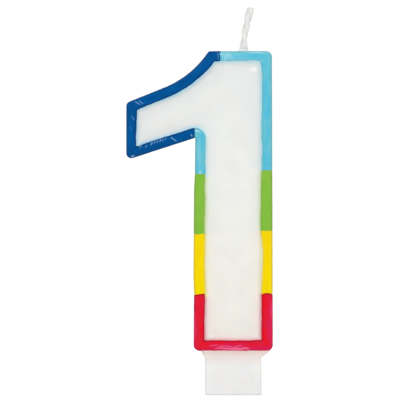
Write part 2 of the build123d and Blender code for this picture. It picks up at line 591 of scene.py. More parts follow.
def numeral_shell():
    """The numeral without its peg: rings of the section round the outline, filled front and back."""
    profile = body_profile()
    runs = outline.samples(OUTLINE_STEP, FEWEST_STEPS)
    count = len(runs)
    vertices = []
    for inset, y in profile:
        ring, _ = outline.place(runs, inset)
        vertices += [(x, y, z) for x, z in ring.tolist()]
    faces = grid_faces(len(profile), count, closed=True)
    back_ring, _ = outline.place(runs, BACK_FILL_INSET)
    panel_ring, _ = outline.place(runs, PANEL_FILL_INSET)
    fill_ring(vertices, faces, 0, back_ring, BACK_Y, BACK_SPACING, True)
    fill_ring(vertices, faces, (len(profile) - 1) * count, panel_ring, PANEL_Y, PANEL_SPACING, False)
    return closed_mesh("numeral_casting", vertices, faces)


PEG_HALF = np.array((6.05, 3.9))
PEG_CORNER_R = 0.6
PEG_FOOT_INSET = 0.9
PEG_SECTION_RADII = [0.42, 0.45, 0.12]
PEG_STEP = 0.4
SHOULDER_LOW_Z = 7.95
SHOULDER_REACH = 1.4
SHOULDER_HALF = np.array((7.45, 4.12))
SHOULDER_SHIFT_X = 0.42
SHOULDER_TOP_Z = FOOT_Z + 0.35


def rounded_rectangle(half, radius, per_corner, per_side):
    """Points round a rectangle with rounded corners, anticlockwise seen from above."""
    arcs = []
    for quarter, signs in enumerate(((1, 1), (-1, 1), (-1, -1), (1, -1))):
        angles = quarter * math.pi / 2 + np.linspace(0.0, math.pi / 2, per_corner + 1)
        arcs.append(signs * (half - radius) + radius * direction_at(angles))
    points = []
    for arc, following in zip(arcs, arcs[1:] + arcs[:1]):
        points += [*arc, *np.linspace(arc[-1], following[0], per_side + 1)[1:-1]]
    return np.array(points)


def peg_and_shoulder():
    """The peg with its rounded foot, and the slope that joins it to the stem."""
    shoulder = [(0.0, SHOULDER_LOW_Z), (-SHOULDER_REACH, FOOT_Z), (-SHOULDER_REACH, SHOULDER_TOP_Z)]
    section = rounded_path([(PEG_FOOT_INSET, 0.0), (0.0, 0.0), *shoulder], PEG_SECTION_RADII, CURVE_STEP)
    rings = []
    for inset, z in with_short_steps(section, PEG_STEP):
        grown = max(-inset, 0.0) / SHOULDER_REACH
        inwards = max(inset, 0.0)
        half = PEG_HALF + (SHOULDER_HALF - PEG_HALF) * grown - inwards
        ring = rounded_rectangle(half, max(PEG_CORNER_R - inwards * 0.4, 0.2), 8, 24)
        ring[:, 0] += SHOULDER_SHIFT_X * smooth(grown)
        rings.append(np.column_stack((ring, np.full(len(ring), z))))
    return capped_rings("peg", rings)


BORE_R = 0.82
BORE_SIDES = 24


def wick_bore():
    """A plain tube a little wider than the wick, to cut its place out of the casting."""
    angles = [2 * math.pi * k / BORE_SIDES for k in range(BORE_SIDES)]
    ring = [(WICK_X + BORE_R * math.cos(angle), BORE_R * math.sin(angle)) for angle in angles]
    return capped_rings("bore", [[(x, y, z) for x, y in ring] for z in (wick_low.z, TOP_Z + 2.0)])


# Soft waves of the cast surface: how high, how wide, and their noise's seed.
CAST_WAVES = ((0.028, 5.0, 3), (0.012, 1.6, 4))
# How far the whole surface and the middle of the panel lie back from the nominal shape.
CAST_SHRINKAGE = 0.04
PANEL_HOLLOW = 0.07
PANEL_HOLLOW_REACH = 4.0


def settle_casting(obj):
    """Small unevenness of cast wax: soft waves all over, and a slight hollow where the panel shrank."""
    places = read_vertices(obj, "co") / MM
    normals = read_vertices(obj, "normal")
    shift = sum(high * noise_at(places, wide, seed) for high, wide, seed in CAST_WAVES) - CAST_SHRINKAGE
    resting = (places[:, 2] < 0.02) | (places[:, 1] > BACK_Y - 0.005)
    shift[resting] = 0.0
    panel = (places[:, 1] > PANEL_Y - 0.3) & (places[:, 1] < PANEL_Y + 0.2) & (normals[:, 1] < -0.9)
    shift[panel] -= PANEL_HOLLOW * bell(places[panel, 0], 0.0, PANEL_HOLLOW_REACH)
    places = places + normals * shift[:, None]
    obj.data.vertices.foreach_set("co", (places * MM).ravel())
    obj.data.update()


def band_at(run):
    """The band that covers this run of the outline, and how wide it is there."""
    for node, spec in BANDS.items():
        start, end = spec["start"]["run"], spec["end"]["run"]
        share = ((run - start) % outline.length) / (end - start)
        if share < 1.0:
            return node, float(along_list(spec["widths"], np.array(share)))


def band_edges(beyond, y):
    """A search tree over the bands' inner edges, or over their outer ones where beyond is None, and
    the colour of the band at each of its places."""
    runs = np.arange(0.0, outline.length, EDGE_STEP)
    bands = [band_at(run) for run in runs]
    line, _ = outline.place(runs, [0.0 if beyond is None else width + beyond for _, width in bands])
    tree = KDTree(len(runs))
    for k, (x, z) in enumerate(line):
        tree.insert((x, y, z), k)
    tree.balance()
    return tree, [colour_of(node) for node, _ in bands]


# Painted highlights, small bright places on the panel: x, z, and how far each reaches both ways.
GLINTS = (
    (red_high.x - 4.1, TOP_Z - 3.9, 0.75, 0.50),
    (yellow_low.x + 3.6, FOOT_Z + 3.2, 0.45, 0.40),
)


def glints(places):
    """How strongly each place shows a painted glint."""
    shown = np.zeros(len(places))
    for x, z, reach_x, reach_z in GLINTS:
        away = ((places[:, 0] - x) / reach_x) ** 2 + ((places[:, 2] - z) / reach_z) ** 2
        shown = np.maximum(shown, np.exp(-(away**2)))
    return shown * (places[:, 1] < PANEL_Y + 0.2)


# Heights between which each shade of white wax comes in.
CREAM_UPWARDS = (7.5, 13.5)
CREAM_DOWNWARDS = (46.0, 16.0)
COOL_UPWARDS = (44.0, 69.0)
PEG_DOWNWARDS = (9.0, 7.5)
# Painted pink light from the red band comes in twice under the stem: how much, and between which heights.
PINK_UPWARDS = ((0.35, 5.6, 8.2), (0.6, 8.2, 9.4))
# For the inner edges and the wrapped ones, where the stain and the painted light and shade fall: how far
# beyond the colour, at what depth, and how strong.
STAINED_AND_LIT_EDGES = ((0.16, PANEL_Y - 0.28, 1.0), (None, WRAP_END_Y + 0.1, 0.7))
EDGE_STEP = 0.2
STAIN_AND_GLOW_REACH = 0.35
STAIN_AND_GLOW_STRENGTH = 0.9
BOUNCE_SHADE_REACH = 1.1
BOUNCE_SHADE_STRENGTH = 0.24


def casting_tint(places):
    """The casting's colour: white wax, faintly stained close to the coloured wax on it, partly as a painted
    glow, with painted bounce light and shade a little farther off, painted pink light under the stem and
    painted glints.
    """
    z = places[:, 2]
    tint = blend(WHITE_WAX, CREAM_WAX, ramp(z, *CREAM_DOWNWARDS) * ramp(z, *CREAM_UPWARDS))
    tint = blend(tint, COOL_WAX, ramp(z, *COOL_UPWARDS))
    tint = blend(tint, PEG_WAX, ramp(z, *PEG_DOWNWARDS))
    uneven = 0.8 + 0.2 * noise_at(places, 2.2, 9)
    for beyond, y, strength in STAINED_AND_LIT_EDGES:
        tree, colours = band_edges(beyond, y)
        found = [tree.find(place) for place in places.tolist()]
        distance = np.array([nearest[2] for nearest in found])
        stain_and_bounce_colours = np.array([STAINS_AND_BOUNCE[colours[nearest[1]]] for nearest in found])
        # Close to the colour, a stain that is partly a painted glow; farther off, painted bounce light and
        # shade.
        near = bell(distance, 0.0, STAIN_AND_GLOW_REACH)
        far = np.exp(-distance / BOUNCE_SHADE_REACH) * (1 - near)
        stain_and_glow = (STAIN_AND_GLOW_STRENGTH * near * strength * uneven)[:, None]
        bounce_shade = (BOUNCE_SHADE_STRENGTH * far * strength * uneven)[:, None]
        tint = tint * (1 - stain_and_glow - bounce_shade) + stain_and_glow * stain_and_bounce_colours[:, 0] + bounce_shade * stain_and_bounce_colours[:, 1]
    pink = sum(share * ramp(z, start, end) for share, start, end in PINK_UPWARDS)
    tint = blend(tint, PINK_BOUNCE_LIGHT, pink * (z < FOOT_Z + 0.3) * uneven)
    return blend(tint, GLINT_HIGHLIGHT, glints(places))


# ---- coloured wax on the rim

RIM_PATH = rim_path(0.05)
RIM_LENGTHS = path_lengths(RIM_PATH)
WRAP_RUN = float(np.interp(-WRAP_END_Y, -RIM_PATH[:8, 1], RIM_LENGTHS[:8]))
BAND_STEP = 0.1
BAND_ROWS = 46
BAND_THICKNESS = 0.14
BAND_BURIED = 0.05
MARK_THICKNESS = 0.03
END_ROUNDING = 0.22
EDGE_ROUNDING = 0.30

# A band runs on this far under its neighbour, narrower there on both edges and thinner.
UNDERLAP = 0.45
UNDER_NARROWER = 0.30
UNDER_LESS_WRAP = 0.25
UNDER_THICKNESS = 0.45


def rim_place(across):
    """(inset, y) and the outward direction at a run across the rim, from the side wall inwards."""
    tangent = np.gradient(RIM_PATH, RIM_LENGTHS, axis=0)
    tangent /= np.linalg.norm(tangent, axis=1, keepdims=True)
    columns = np.concatenate((RIM_PATH, tangent), 1).T
    inset, y, inset_step, y_step = (np.interp(across, RIM_LENGTHS, column) for column in columns)
    return inset, y, y_step, -inset_step


def run_across_to(inset):
    """The run across the rim at which it reaches this inset on its inner slope."""
    inner = RIM_PATH[:, 0] > 0.8
    return np.interp(inset, RIM_PATH[inner, 0], RIM_LENGTHS[inner])


def spaced_columns(length):
    """Shares of a band's length about a step apart, closer at its two rounded ends."""
    ends = np.array((0.0, 0.015, 0.04, 0.08, 0.13, 0.19))
    middle = np.linspace(0.26, length - 0.26, max(2, math.ceil(length / BAND_STEP)))
    return np.concatenate((ends, middle, length - ends[::-1])) / length


def spaced_rows():
    """Shares across a band, a little closer together in its middle."""
    share = np.linspace(0.0, 1.0, BAND_ROWS)
    return share + 0.12 * np.sin(2 * math.pi * share) / (2 * math.pi)


def rounded(distance, reach):
    """The height of a rounded edge: 0 at its end, and 1 from its reach on."""
    share = np.clip(distance / reach, 0.0, 1.0)
    return np.sqrt(np.maximum(1.0 - (1.0 - share) ** 2, 0.0))


def band_marks(run, inset, marks):
    """How strongly each place shows a mark. For each side of the outline, a mark has how far along it
    and in from the edge it lies, its length, width and slant in degrees, and its strength."""
    shown = np.zeros(run.shape)
    for side, rows in marks.items():
        for along, depth, length, width, slant, strength in rows:
            away = run - outline.starts[side] - along
            away = (away + outline.length / 2) % outline.length - outline.length / 2
            lengthways, sideways = turned(away, inset - depth, -math.radians(slant))
            sideways = (sideways + 0.12 * width * np.sin(away * 2.3 + along)) / (width / 2)
            fade = -(np.abs(lengthways / (length / 2)) ** 3) - sideways**2
            shown = np.maximum(shown, strength * np.exp(fade))
    return shown


def band_surface(spec):
    """The outer and inner skin of one band of coloured wax, and what its material reads."""
    start, end, seed = spec["start"], spec["end"], spec["seed"]
    length = end["run"] - start["run"]
    share = spaced_columns(length)[None, :]
    across_share = spaced_rows()[:, None]
    start_run = start["run"] + along_list(start["shape"], across_share)
    end_run = end["run"] + along_list(end["shape"], across_share)
    run = start_run + share * (end_run - start_run)
    from_start = share * length
    from_end = length - from_start

    nominal = start["run"] + from_start
    middle, _ = outline.place(nominal, 1.2)
    line = np.concatenate((middle, np.zeros(nominal.shape + (1,))), -1)
    covered = (1.0 - ramp(from_start, 0.0, UNDERLAP)) * start["under"]
    covered = covered + (1.0 - ramp(from_end, 0.0, UNDERLAP)) * end["under"]
    width = along_list(spec["widths"], share) - UNDER_NARROWER * covered
    width = width + 0.05 * noise_at(line, 1.1, seed) + 0.03 * noise_at(line, 0.4, seed)
    waves = noise_at(line, 2.4, seed + 1) + 0.4 * noise_at(line, 0.7, seed + 2)
    wrap = WRAP_RUN + spec["wrap_wave"] * waves + UNDER_LESS_WRAP * covered
    inner_run = run_across_to(width)
    across = wrap + across_share * (inner_run - wrap)
    from_wrap = across - wrap
    from_inner = inner_run - across

    inset, y, out_inset, out_y = rim_place(across)
    point, normal = outline.place(run, inset)
    places = np.stack((point[..., 0], y, point[..., 1]), -1)
    outward = np.stack((normal[..., 0] * out_inset, out_y, normal[..., 1] * out_inset), -1)

    height = rounded(from_wrap, EDGE_ROUNDING) * rounded(from_inner, EDGE_ROUNDING)
    height = height * rounded(from_start, END_ROUNDING) * rounded(from_end, END_ROUNDING)
    for band_end, distance in ((start, from_start), (end, from_end)):
        if band_end["under"]:
            uncovered = ramp(distance, UNDERLAP, UNDERLAP + 0.3)
            height = height * (UNDER_THICKNESS + (1.0 - UNDER_THICKNESS) * uncovered)
    level = np.zeros_like(run)
    brushed = np.stack((*turned(run, across, -math.radians(spec["brush_angle"])), level), -1)
    strokes = noise_at(brushed, 0.16, seed + 5, (9.0, 1.0, 1.0))
    lumps = 0.5 * noise_at(places, 1.5, seed + 3) + 0.3 * noise_at(places, 0.6, seed + 4)
    relief = spec["lumps"] * lumps + spec["strokes"] * strokes
    # Brush ridges: raised a little, and coloured lighter as painted highlights.
    mark = band_marks(run, inset, spec["marks"])
    thickness = BAND_THICKNESS * height * np.clip(1.05 + relief, 0.4, 1.6) + MARK_THICKNESS * mark * height
    for side, along, reach, bulge in spec["drips"]:
        drip = bell(nominal - outline.starts[side], along, reach)
        thickness = thickness + bulge * drip * height * (1.0 - ramp(inset, 0.0, 0.5))
    outer = places + outward * thickness[..., None]
    outer[..., 0] = np.clip(outer[..., 0], flag_low.x, red_high.x)
    outer[..., 1] = np.maximum(outer[..., 1], FRONT_Y)

    # Painted shade at the band's edges and its shades, painted sheen and shade on its outer rounding and its
    # sheens.
    edge = 1.0 - ramp(np.minimum(from_wrap + 0.25, from_inner), 0.0, spec["edge_reach"])
    side = 1.0 - ramp(inset, 0.25, 0.60)
    values = {
        "edge": np.maximum(edge, band_marks(run, inset, spec["shades"])),
        "side": np.maximum(side, band_marks(run, inset, spec["blushes"])),
        "end": 1.0 - ramp(np.minimum(from_start, from_end), 0.0, spec["end_reach"]),
        "mark": mark,
    }
    return outer, places - outward * BAND_BURIED, values, np.stack((run, across, level), -1)


def build_band(node, spec):
    """One band as a closed solid layer of wax lying on the rim."""
    outer, buried, values, flow = band_surface(spec)
    rows, columns = outer.shape[:2]
    count = rows * columns
    index = np.arange(count).reshape(rows, columns)
    border = np.concatenate((index[0, :-1], index[:-1, -1], index[-1, :0:-1], index[:0:-1, 0]))
    faces = grid_faces(rows, columns, flip=True) + grid_faces(rows, columns, first=count)
    faces += [(a, b, count + b, count + a) for a, b in zip(border, np.roll(border, -1))]
    vertices = np.concatenate((outer.reshape(-1, 3), buried.reshape(-1, 3)))
    obj = closed_mesh(node + "_wax", vertices, faces)
    for name, value in values.items():
        set_layer(obj, name, "FLOAT", np.tile(np.broadcast_to(value, (rows, columns)).ravel(), 2))
    set_layer(obj, "flow", "FLOAT_VECTOR", np.tile(flow.reshape(-1, 3), (2, 1)))
    obj.data.shade_smooth()
    return obj


# ---- the bands

def join(run, shape=(0.0, 0.0), under=False):
    """Where a band ends: how far along the outline, how the end's line wanders from the side of the
    numeral to the panel, and whether it runs on under its neighbour."""
    return {"run": run, "shape": shape, "under": under}


def change(side, node, end):
    """How far along the outline a band's low end (0) or high end (1) crosses this side."""
    return outline.run_on(side, 1, node_box(node)[end].z)


CROWN_JOIN = outline.run_on("top", 0, flag_high.x)
INNER_JOIN = outline.starts["inner_corner"] + 0.17 * outline.pieces["inner_corner"].run_length()
LEFT_BLUE_GREEN = change("stem_left", "green_band_left", 1)
LEFT_GREEN_YELLOW = change("stem_left", "yellow_band_left", 1)
LEFT_YELLOW_RED = change("stem_left", "yellow_band_left", 0)
RIGHT_RED_YELLOW = change("stem_right", "yellow_band_right", 0)
RIGHT_YELLOW_GREEN = change("stem_right", "green_band_right", 0)
RIGHT_GREEN_BLUE = change("stem_right", "green_band_right", 1)

# Brush ridges, each with a painted highlight on it.
FLAG_RIDGE_HIGHLIGHTS = {
    "slope": [(6.56, 1.00, 1.05, 0.18, -62, 0.85), (5.80, 1.10, 0.90, 0.18, -61, 0.80)],
    "flag_left": [(2.28, 1.45, 0.85, 0.17, 41, 0.65), (4.60, 0.90, 0.60, 0.10, 50, 0.25)],
    "underside": [
        (0.00, 0.45, 0.75, 0.26, 10, 0.95), (0.90, 2.00, 0.50, 0.22, 60, 0.80),
        (1.45, 1.70, 0.40, 0.20, 60, 0.70), (3.05, 1.50, 0.40, 0.24, 70, 0.75),
        (4.50, 1.72, 0.70, 0.20, 75, 0.95), (4.95, 1.80, 0.50, 0.18, 75, 0.75),
        (5.45, 1.78, 0.55, 0.18, 65, 0.85), (6.05, 1.74, 0.60, 0.18, 70, 0.80),
        (6.65, 1.80, 0.65, 0.19, 60, 0.90), (7.10, 1.72, 0.50, 0.16, 60, 0.70),
        (7.70, 1.75, 0.80, 0.14, 20, 0.50), (9.20, 1.40, 0.60, 0.20, -60, 0.75),
        (9.60, 0.90, 0.70, 0.22, -55, 0.70), (13.3, 0.75, 0.50, 0.22, -70, 0.85),
    ],
    "top": [(10.35, 1.15, 1.40, 0.18, 80, 0.45)],
}
STUB_RIDGE_HIGHLIGHTS = {
    "inner_corner": [(1.10, 1.62, 2.00, 0.34, 0, 0.80)],
    "stem_left": [
        (2.60, 0.80, 4.40, 0.70, 1, 0.16), (5.60, 0.95, 2.20, 0.70, -2, 0.12),
        (7.20, 1.15, 0.90, 0.60, 0, 0.50),
    ],
}
CROWN_RIDGE_HIGHLIGHTS = {
    "top": [
        (8.30, 1.15, 2.60, 1.50, 0, 0.32), (9.35, 0.75, 0.70, 0.45, -35, 0.45),
        (5.60, 1.20, 4.60, 1.50, 0, 0.09), (8.70, 1.65, 1.00, 0.40, 20, 0.45),
        (7.80, 1.05, 1.10, 0.45, 12, 0.45), (7.20, 1.60, 0.90, 0.35, -5, 0.35),
        (2.20, 2.05, 2.80, 0.26, -3, 0.75), (2.00, 0.42, 3.60, 0.30, 0, 0.45),
    ],
    "top_right_corner": [(1.2, 2.05, 1.20, 0.26, 0, 0.70)],
    "stem_right": [
        (27.0, 1.20, 6.00, 0.35, 1, 0.20), (34.0, 0.90, 5.00, 0.30, -1, 0.18),
        (16.0, 1.40, 7.00, 0.30, 1, 0.16),
    ],
}
FOOT_RIDGE_HIGHLIGHTS = {
    "foot": [
        (2.9, 1.20, 1.80, 0.22, 5, 0.40), (4.4, 0.66, 2.20, 0.24, 3, 0.80),
        (4.8, 1.05, 1.50, 0.22, 5, 0.50), (5.9, 0.54, 2.20, 0.28, 2, 0.90),
        (6.3, 0.96, 1.50, 0.22, -5, 0.60), (7.1, 0.50, 1.80, 0.34, 4, 1.00),
        (7.7, 0.82, 1.20, 0.24, -6, 0.80), (8.3, 0.50, 1.80, 0.34, -3, 1.00),
        (8.4, 1.14, 1.20, 0.20, 5, 0.45), (9.3, 0.62, 1.60, 0.28, 5, 0.95),
        (10.1, 0.52, 1.10, 0.26, -4, 0.70),
    ],
    "stem_left": [(40.0, 0.35, 4.40, 0.24, 0, 0.22)],
    "stem_right": [(7.4, 0.30, 3.00, 0.26, 0, 0.30)],
}
# Painted pink sheen on the red.
FOOT_SHEENS = {
    "foot": [(6.6, 0.85, 8.20, 1.50, 0, 0.95), (13.0, 0.55, 6.40, 1.00, 0, 0.85)],
    "stem_right": [(4.6, 0.55, 9.60, 1.10, 0, 0.75)],
    "stem_left": [(39.6, 0.20, 6.00, 0.90, 0, 0.60)],
}
# Painted shade along the red's outer edges and corners.
FOOT_SHADES = {
    "foot": [
        (0.2, 0.10, 2.60, 0.36, 0, 1.00), (8.0, 0.10, 5.20, 0.24, 0, 0.90),
        (11.2, 0.10, 1.80, 0.36, 0, 1.00), (15.4, 0.08, 3.00, 0.30, 0, 0.90),
    ],
    "stem_left": [(36.2, 0.15, 0.90, 0.45, 0, 0.90), (30.6, 0.10, 3.00, 0.34, 0, 0.70)],
    "stem_right": [(3.2, 0.08, 4.00, 0.28, 0, 0.90)],
}
# Drips on the lower edge: side of the outline, how far along it, reach and bulge.
FOOT_DRIPS = [
    ("foot", 8.6, 0.5, 0.07), ("foot", 9.8, 0.6, 0.12),
    ("foot", 12.9, 0.9, 0.06), ("foot", 3.0, 1.2, 0.05),
]

CROWN_END = (-0.10, -0.12, -0.15, -0.05, 0.34, 0.28, 0.26, 0.30, 0.42, 0.60, 0.90)


def band(seed, start, end, widths, **differences):
    """What one band is built from: the same for every band but for its differences."""
    plain = {"wrap_wave": 0.16, "lumps": 0.16, "strokes": 0.10, "brush_angle": 4.0}
    reaches = {"edge_reach": 0.62, "end_reach": 0.35}
    shown = {"marks": {}, "blushes": {}, "shades": {}, "drips": []}
    own = {"seed": seed, "start": start, "end": end, "widths": widths}
    return {**plain, **reaches, **shown, **own, **differences}


BANDS = {
    "dark_blue_band": band(
        11, join(CROWN_JOIN - outline.length, CROWN_END), join(INNER_JOIN + UNDERLAP, under=True),
        (2.2, 2.3, 2.2, 2.25, 2.25, 2.25, 2.3, 2.2, 2.1, 2.1, 2.2, 2.2, 2.15, 2.15),
        brush_angle=-52.0, strokes=0.14, marks=FLAG_RIDGE_HIGHLIGHTS,
    ),
    "light_blue_band_left": band(
        12, join(INNER_JOIN), join(LEFT_BLUE_GREEN + UNDERLAP, under=True),
        (2.2, 2.2, 2.2, 2.2, 2.3),
        lumps=0.2, marks=STUB_RIDGE_HIGHLIGHTS,
    ),
    "green_band_left": band(
        13, join(LEFT_BLUE_GREEN, (0.0, -0.05, 0.02, -0.03)), join(LEFT_GREEN_YELLOW + UNDERLAP, under=True),
        (2.2, 2.2, 2.35, 2.35, 2.25, 2.25),
    ),
    "yellow_band_left": band(
        14, join(LEFT_GREEN_YELLOW, (0.05, 0.0, 0.04, -0.04, -0.12)),
        join(LEFT_YELLOW_RED + UNDERLAP, under=True),
        (2.4, 2.35, 2.35, 2.45, 2.4),
    ),
    "red_band": band(
        15, join(LEFT_YELLOW_RED, (0.25, 0.16, 0.04, -0.1, -0.14)),
        join(RIGHT_RED_YELLOW, (-0.8, -0.12, 0.05, 0.04, -0.3)),
        (2.35, 2.35, 2.3, 2.3, 2.3, 2.3, 2.3, 2.25, 2.25, 2.25, 2.4, 2.4, 2.45, 2.4, 2.4, 2.4),
        lumps=0.24, strokes=0.18, wrap_wave=0.2, end_reach=0.62,
        marks=FOOT_RIDGE_HIGHLIGHTS, blushes=FOOT_SHEENS, shades=FOOT_SHADES, drips=FOOT_DRIPS,
    ),
    "yellow_band_right": band(
        16, join(RIGHT_RED_YELLOW - UNDERLAP, under=True), join(RIGHT_YELLOW_GREEN, (0.0, 0.02, 0.0, 0.04)),
        (2.4, 2.3, 2.2, 2.1, 2.05, 2.2, 2.5),
    ),
    "green_band_right": band(
        17, join(RIGHT_YELLOW_GREEN - UNDERLAP, under=True),
        join(RIGHT_GREEN_BLUE, (-0.05, 0.0, 0.03, -0.06)),
        (2.55, 2.55, 2.45, 2.45, 2.4, 2.3),
    ),
    "light_blue_band_right": band(
        18, join(RIGHT_GREEN_BLUE - UNDERLAP, under=True), join(CROWN_JOIN + UNDERLAP, CROWN_END, under=True),
        (2.25, 2.2, 2.15, 2.25, 2.25, 2.2, 2.15, 2.15, 2.1, 2.2, 2.4, 2.1, 2.1, 2.05, 2.15, 2.1),
        lumps=0.22, marks=CROWN_RIDGE_HIGHLIGHTS,
    ),
}


# ---- wick and its collar of wax

WICK_RADIUS = (wick_high.y - wick_low.y) / 2
WICK_X = wick_low.x + WICK_RADIUS
WICK_EXIT = TOP_Z - wick_low.z
WICK_AROUND = 56
PLY_RADIUS = 0.60
PLY_OFFSET = 0.18
TWIST_PITCH = 6.8
PLY_CROSSING_Z = 79.2
GROOVE_SHARPNESS = 16.0
# The painted shade in the groove is deepest where the skin is at the first radius, and ends at the second.
GROOVE_RADII = (0.59, 0.71)
# Fine ridges of the yarns: how many round the wick, how fast they climb, and how high they are.
YARNS = 3.0
YARN_CLIMB = 8.8
YARN_HEIGHT = 0.012
HIDDEN_STEP = 0.4
FREE_STEP = 0.07
# How much thicker and thinner the free wick is: by which share, round which share of its length, and
# how far that reaches.
TIP_SWELL = (0.13, 0.86, 0.20)
WAIST = (0.06, 0.33, 0.12)
# Wax gathered where the wick comes out, and how fast that fades.
ROOT_WAX = 0.30
ROOT_FADE = 0.75
TIP_ROUNDING = 0.30
TIP_SHARE = 0.30


def wick_line():
    """The wick's middle line as a smooth spline through its bore and out of the top."""
    route = [
        (WICK_X, wick_low.z + 0.1),
        (WICK_X, TOP_Z - 5.0),
        (WICK_X, TOP_Z + 1.4),
        (WICK_X + 0.48, TOP_Z + 5.0),
        (wick_high.x - WICK_RADIUS + 0.22, wick_high.z - 0.06),
    ]
    curve = bpy.data.curves.new("wick_line", "CURVE")
    curve.dimensions = "3D"
    spline = curve.splines.new("NURBS")
    spline.points.add(len(route) - 1)
    for point, (x, z) in zip(spline.points, route):
        point.co = (x, 0.0, z, 1.0)
    spline.order_u = 3
    spline.use_endpoint_u = True
    spline.resolution_u = 40
    holder = bpy.data.objects.new("wick_line", curve)
    bpy.context.scene.collection.objects.link(holder)
    bpy.context.view_layer.update()
    mesh = bpy.data.meshes.new_from_object(holder)
    line = np.array([v.co for v in mesh.vertices])
    bpy.data.objects.remove(holder)
    return line


def ply_centres(turn):
    """Where the wick's two plies lie about its middle. As they rise, the one in front goes left."""
    first = np.stack((-np.sin(turn), -np.cos(turn)), -1) * PLY_OFFSET
    return np.stack((first, -first), 1)


def section_radii(turn, spokes):
    """How far the skin round both plies reaches along each spoke, with wax filling the groove."""
    centres = ply_centres(turn)
    along = np.einsum("psk,ak->pas", centres, spokes)
    aside = (centres**2).sum(-1)[:, None, :] - along**2
    reach = along + np.sqrt(np.maximum(PLY_RADIUS**2 - aside, 1e-4))
    return np.log(np.exp(reach * GROOVE_SHARPNESS).sum(-1)) / GROOVE_SHARPNESS - 0.02


def wick():
    """The twisted wick as one closed skin round its two plies, soaked and stuck with wax."""
    line = wick_line()
    lengths = path_lengths(line)
    total = lengths[-1]
    hidden = np.arange(0.0, WICK_EXIT - 1.0, HIDDEN_STEP)
    places = np.concatenate((hidden, np.arange(WICK_EXIT - 1.0, total, FREE_STEP), (total,)))
    middle = np.stack([np.interp(places, lengths, line[:, k]) for k in range(3)], -1)
    tangent = np.gradient(middle, places, axis=0)
    tangent /= np.linalg.norm(tangent, axis=1, keepdims=True)
    depth = np.array((0.0, 1.0, 0.0))
    side = np.cross(depth, tangent)
    angles = np.linspace(0.0, 2 * math.pi, WICK_AROUND, endpoint=False)
    spokes = direction_at(angles)
    across = spokes[None, :, :1] * side[:, None, :] + spokes[None, :, 1:] * depth

    turn = 2 * math.pi * (middle[:, 2] - PLY_CROSSING_Z) / TWIST_PITCH
    radius = section_radii(turn, spokes)
    groove = 1.0 - ramp(radius, *GROOVE_RADII)
    free = (places - WICK_EXIT)[:, None]
    height = free / (total - WICK_EXIT)
    tip_swell, waist = (share * bell(height, *place) for share, *place in (TIP_SWELL, WAIST))
    root = ROOT_WAX * np.exp(-np.maximum(free, 0.0) / ROOT_FADE) * (free > -1.0)
    yarns = YARN_HEIGHT * np.sin(YARNS * angles[None, :] - YARN_CLIMB * turn[:, None])
    near_skin = middle[:, None, :] + 0.8 * across
    lumps = 0.035 * noise_at(near_skin, 0.8, 22)
    fibres = 0.02 * noise_at(near_skin, 0.22, 21, (1.0, 1.0, 4.0))
    radius = radius * (1.0 + tip_swell - waist) + root + yarns + lumps + fibres
    radius = radius * (TIP_SHARE + (1.0 - TIP_SHARE) * rounded(total - places, TIP_ROUNDING)[:, None])
    radius = np.where(free < -0.6, np.minimum(radius, WICK_RADIUS), radius)

    skin = middle[:, None, :] + radius[..., None] * across
    skin[..., 2] = np.minimum(skin[..., 2], wick_high.z)
    rows = len(places)
    foot, last = rows * WICK_AROUND, (rows - 1) * WICK_AROUND
    faces = grid_faces(rows, WICK_AROUND, closed=True)
    for here in range(WICK_AROUND):
        beside = (here + 1) % WICK_AROUND
        faces += [(beside, here, foot), (last + here, last + beside, foot + 1)]
    obj = closed_mesh("waxed_wick", np.concatenate((skin.reshape(-1, 3), middle[:1], middle[-1:])), faces)
    # Painted shade in the grooves between the plies.
    set_layer(obj, "groove", "FLOAT", np.concatenate((groove.ravel(), (0.0, 0.0))))
    obj.data.shade_smooth()
    return obj


SEAL_AROUND = 72
SEAL_RADII = [0.03, 0.5, 0.2, 0.03]
# Inside this radius it keeps to the wick, and outside it is this share wider on the left.
SEAL_GRIP_R = 0.7
SEAL_WIDER = 0.30
# From the rim of the collar up to the wick, as (distance from the wick's middle, height).
SEAL_POINTS = [(1.66, -0.10), (1.66, 0.01), (1.20, 0.17), (0.98, 0.50), (0.62, 0.66), (0.62, -0.10)]


def wick_seal():
    """The collar of wax that crept up the wick when it was cast, wider on its left."""
    profile = with_short_steps(rounded_path(SEAL_POINTS, SEAL_RADII, 0.05), 0.1)
    vertices = []
    for radius, rise in profile:
        for angle in np.linspace(0.0, 2 * math.pi, SEAL_AROUND, endpoint=False):
            x, y = math.cos(angle), math.sin(angle)
            spread = 0.5 + 0.5 * noise.noise((x * 1.3, y * 1.3, 7.7))
            beyond = max(radius - SEAL_GRIP_R, 0.0) * (0.85 + 0.3 * spread)
            wide = min(radius, SEAL_GRIP_R) + beyond * (1.0 + SEAL_WIDER * max(0.0, -x))
            tall = rise * (0.8 + 0.4 * spread) if rise > 0.1 else rise
            vertices.append((WICK_X + wide * x, wide * y, TOP_Z - 0.03 + tall))
    rows = len(profile)
    faces = grid_faces(rows, SEAL_AROUND, closed=True)
    last = (rows - 1) * SEAL_AROUND
    for here in range(SEAL_AROUND):
        beside = (here + 1) % SEAL_AROUND
        faces.append((last + here, last + beside, beside, here))
    obj = closed_mesh("wick_collar", vertices, faces)
    set_tint(obj, SEAL_WAX)
    obj.data.shade_smooth()
    return obj


# ---- materials

